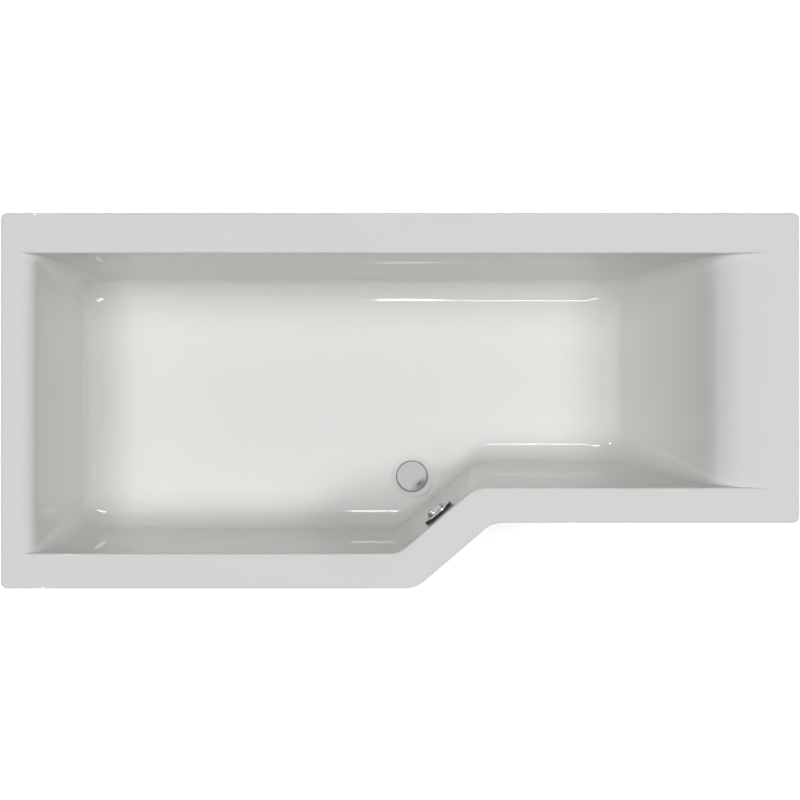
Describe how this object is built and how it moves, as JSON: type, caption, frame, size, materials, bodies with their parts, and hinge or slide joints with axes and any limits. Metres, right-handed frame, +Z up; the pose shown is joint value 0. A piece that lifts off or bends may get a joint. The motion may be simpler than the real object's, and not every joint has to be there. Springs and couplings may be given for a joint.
{
  "type": "p shaped shower bath",
  "caption": "P shaped acrylic shower bath, one end wider with a straight diagonal front, sloped backrest, pop-up waste and turning overflow, on adjustable feet.",
  "frame": {"origin": "on the floor, under the middle of the bath's outer rectangle, with the feet as drawn", "axes": "+X from the showering end to the backrest end, +Y from the front towards the wall, +Z up"},
  "size_m": [1.7, 0.8, 0.56],
  "materials": {
    "acrylic": "gloss, vacuum formed sanitary acrylic",
    "laminate": "rough sprayed glass fibre laminate",
    "chipboard": "raw chipboard",
    "timber": "sawn softwood",
    "zinc_steel": "galvanised",
    "zinc_fixings": "bright zinc plated",
    "pad_plastic": "moulded, satin",
    "chrome": "bright chrome plate",
    "white_rubber": "soft, matt",
    "black_rubber": "soft, matt",
    "black_plastic": "moulded, satin",
    "white_plastic": "moulded",
    "lever_plastic": "moulded, natural",
    "pin_steel": "stainless",
    "hose_plastic": "moulded, ribbed",
    "cable_sleeve": "smooth sleeve"
  },
  "bodies": {
    "bath": {"bath_shell": "acrylic", "laminate": "laminate", "baseboard": "chipboard", "rim_battens": "timber", "foot_end_rail": "zinc_steel", "head_end_rail": "zinc_steel", "mid_bracket": "zinc_steel", "base_screws": "zinc_fixings", "stud_nuts": "zinc_fixings", "wall_brackets": "zinc_steel", "bracket_screws": "zinc_fixings", "waste_flange": "chrome", "flange_seal": "white_rubber", "waste_body": "black_plastic", "body_seal": "black_rubber", "lever_pin": "pin_steel", "overflow_insert": "black_plastic", "overflow_rosette": "chrome", "overflow_body": "black_plastic", "overflow_gasket": "black_rubber", "overflow_hose": "hose_plastic", "hose_nut_top": "black_plastic", "hose_nut_bottom": "black_plastic", "control_cable": "cable_sleeve"},
    "foot_1": {"foot_pad_1": "pad_plastic", "foot_stud_1": "zinc_fixings"},
    "foot_2": {"foot_pad_2": "pad_plastic", "foot_stud_2": "zinc_fixings"},
    "foot_3": {"foot_pad_3": "pad_plastic", "foot_stud_3": "zinc_fixings"},
    "foot_4": {"foot_pad_4": "pad_plastic", "foot_stud_4": "zinc_fixings"},
    "foot_5": {"foot_pad_5": "pad_plastic", "foot_stud_5": "zinc_fixings"},
    "plug": {"plug_cap": "chrome", "plug_seal": "black_rubber", "plug_stem": "white_plastic"},
    "lift_lever": {"lift_lever": "lever_plastic"},
    "knob": {"overflow_knob": "chrome", "cable_drum": "lever_plastic"}
  },
  "joints": [
    {"name": "foot_1_height", "type": "slide", "parent": "bath", "child": "foot_1", "axis": [0, 0, -1], "range_m": [-0.01, 0.02]},
    {"name": "foot_2_height", "type": "slide", "parent": "bath", "child": "foot_2", "axis": [0, 0, -1], "range_m": [-0.01, 0.02]},
    {"name": "foot_3_height", "type": "slide", "parent": "bath", "child": "foot_3", "axis": [0, 0, -1], "range_m": [-0.01, 0.02]},
    {"name": "foot_4_height", "type": "slide", "parent": "bath", "child": "foot_4", "axis": [0, 0, -1], "range_m": [-0.01, 0.02]},
    {"name": "foot_5_height", "type": "slide", "parent": "bath", "child": "foot_5", "axis": [0, 0, -1], "range_m": [-0.006, 0.01]},
    {"name": "knob_turn", "type": "hinge", "parent": "bath", "child": "knob", "pos_m": [0.0846, -0.24569, 0.498], "axis": [-0.6512, 0.7571, 0.0523], "range_deg": [0, 90]},
    {"name": "plug_lift", "type": "slide", "parent": "bath", "child": "plug", "axis": [0, 0, 1], "range_m": [0, 0.009]},
    {"name": "lever_swing", "type": "hinge", "parent": "bath", "child": "lift_lever", "pos_m": [0.01808, -0.16835, 0.092], "axis": [-0.7581, -0.6521, 0], "range_deg": [0, 32.7]}
  ],
  "couplings": [
    {"joint": "plug_lift", "follows": "knob_turn", "m_per_rad": 0.0057296},
    {"joint": "lever_swing", "follows": "knob_turn", "ratio": 0.363}
  ]
}
